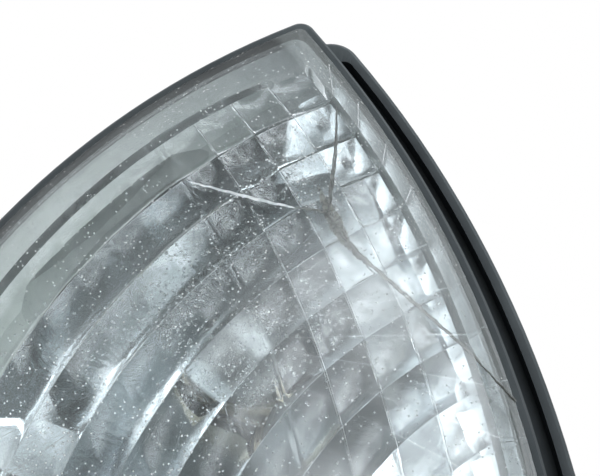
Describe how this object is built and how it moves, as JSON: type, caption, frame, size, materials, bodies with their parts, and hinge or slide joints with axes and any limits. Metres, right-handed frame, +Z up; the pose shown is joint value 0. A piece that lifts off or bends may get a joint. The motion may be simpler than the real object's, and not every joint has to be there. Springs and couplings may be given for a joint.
{
  "type": "turn signal indicator",
  "caption": "Three-cornered motorcycle turn signal: clear lens with stepped optics over a bright reflector, silver-coated bulb in a twist-out holder, rear studs.",
  "frame": {"origin": "on the bulb axis, at the centre of the circle of three mounting studs, in the plane of the rubber washers that seat on the vehicle's bracket", "axes": "+Y points backwards along the bulb axis and the studs, the lens faces -Y; +Z is up; +X is to the right as the lens is seen from the front"},
  "size_m": [0.1242, 0.072, 0.125],
  "materials": {
    "clear_lens": "polished",
    "dark_housing": "satin",
    "bright_reflector": "polished",
    "sealant": "satin",
    "black_rubber": "matte",
    "zinc_steel": "satin",
    "black_nylon": "satin",
    "tinned_brass": "satin",
    "nickel_brass": "polished",
    "silvered_glass": "polished",
    "clear_glass": "polished",
    "black_glass": "polished",
    "tungsten": "satin",
    "solder": "satin",
    "spring_steel": "satin",
    "brown_laminate": "satin",
    "grey_foam": "matte"
  },
  "bodies": {
    "lamp": {"lens": "clear_lens", "housing": "dark_housing", "reflector": "bright_reflector", "lens_seal": "sealant", "panel_gasket": "black_rubber", "breather_cap": "black_rubber", "breather_filter": "grey_foam", "holder_seal": "black_rubber", "mounting_stud_1": "zinc_steel", "stud_washer_1": "black_rubber", "reflector_screw_1": "zinc_steel", "mounting_stud_2": "zinc_steel", "stud_washer_2": "black_rubber", "reflector_screw_2": "zinc_steel", "mounting_stud_3": "zinc_steel", "stud_washer_3": "black_rubber", "reflector_screw_3": "zinc_steel"},
    "holder": {"holder_body": "black_nylon", "live_terminal": "tinned_brass", "earth_terminal": "tinned_brass", "socket_sleeve": "nickel_brass", "contact_spring": "spring_steel"},
    "contact": {"contact_plunger": "nickel_brass", "contact_insulator": "brown_laminate"},
    "bulb": {"bulb_glass": "silvered_glass", "bulb_stem": "clear_glass", "bulb_supports": "tungsten", "bulb_filament": "tungsten", "bulb_cap": "nickel_brass", "bulb_insulator": "black_glass", "bulb_contact": "solder"}
  },
  "joints": [
    {"name": "holder_twist", "type": "hinge", "parent": "lamp", "child": "holder", "pos_m": [0, -0.012, 0], "axis": [0, 1, 0], "range_deg": [0, 45]},
    {"name": "bulb_push", "type": "slide", "parent": "holder", "child": "bulb", "axis": [0, 1, 0], "range_m": [0, 0.0013], "stiffness_N_per_m": 1500},
    {"name": "contact_push", "type": "slide", "parent": "holder", "child": "contact", "axis": [0, 1, 0], "range_m": [0, 0.0013], "deforming": ["contact_spring"]}
  ],
  "couplings": [
    {"joint": "contact_push", "follows": "bulb_push", "ratio": 1}
  ]
}
